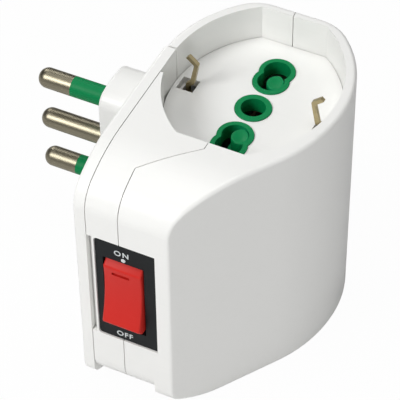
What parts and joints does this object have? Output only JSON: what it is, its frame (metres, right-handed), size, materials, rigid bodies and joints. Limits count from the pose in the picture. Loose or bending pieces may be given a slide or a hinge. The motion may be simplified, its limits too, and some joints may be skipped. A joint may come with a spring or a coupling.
{
  "type": "double socket adapter",
  "caption": "Wall plug adapter with a recessed mains socket in each end face, sleeved round pins on an oval boss, spring earth clips, sliding shutters and a rocker breaker switch.",
  "frame": {"origin": "centre of the bounding box at the lower socket's rim", "axes": "+X away from the plug pins, +Y from the switch panel to the round end, +Z from the lower socket to the upper one"},
  "size_m": [0.0772, 0.0704, 0.068],
  "materials": {
    "white_plastic": "satin moulded",
    "green_plastic": "moulded",
    "black_plastic": "fine texture",
    "red_plastic": "polished",
    "nickel": "plated",
    "brass": "stamped strip",
    "steel": "zinc plated"
  },
  "bodies": {
    "housing": {"plug_plate": "white_plastic", "inner_shell": "white_plastic", "outer_shell": "white_plastic", "line_pin": "nickel", "earth_pin": "nickel", "neutral_pin": "nickel", "line_pin_sleeve": "green_plastic", "neutral_pin_sleeve": "green_plastic", "switch_frame": "black_plastic", "rocker_pivot_pin": "steel", "common_terminal": "brass", "fixed_contact": "brass", "bimetal_strip": "brass", "line_busbar": "brass", "neutral_busbar": "brass", "earth_busbar": "brass", "line_link": "brass", "neutral_link": "brass", "assembly_screws": "steel", "top_socket_face": "white_plastic", "top_hole_liner": "green_plastic", "top_shutter_spring": "steel", "top_earth_strap": "brass", "top_line_contact": "brass", "top_neutral_contact": "brass", "bottom_socket_face": "white_plastic", "bottom_hole_liner": "green_plastic", "bottom_shutter_spring": "steel", "bottom_earth_strap": "brass", "bottom_line_contact": "brass", "bottom_neutral_contact": "brass"},
    "rocker": {"switch_rocker": "red_plastic"},
    "lever": {"contact_lever": "brass"},
    "top_shutter": {"top_shutter": "green_plastic"},
    "bottom_shutter": {"bottom_shutter": "green_plastic"}
  },
  "joints": [
    {"name": "rocker_tilt", "type": "hinge", "parent": "housing", "child": "rocker", "pos_m": [0.00535, -0.0274, 0.0345], "axis": [1, 0, 0], "range_deg": [0, 12]},
    {"name": "lever_swing", "type": "hinge", "parent": "housing", "child": "lever", "pos_m": [0.00535, -0.02261, 0.0345], "axis": [1, 0, 0], "range_deg": [-12, 0]},
    {"name": "top_shutter_slide", "type": "slide", "parent": "housing", "child": "top_shutter", "axis": [1, 0, 0], "range_m": [0, 0.005], "stiffness_N_per_m": 40, "springref_m": -0.004, "deforming": ["top_shutter_spring"]},
    {"name": "bottom_shutter_slide", "type": "slide", "parent": "housing", "child": "bottom_shutter", "axis": [1, 0, 0], "range_m": [0, 0.005], "stiffness_N_per_m": 40, "springref_m": -0.004, "deforming": ["bottom_shutter_spring"]}
  ],
  "couplings": [
    {"joint": "lever_swing", "follows": "rocker_tilt", "ratio": -1}
  ]
}
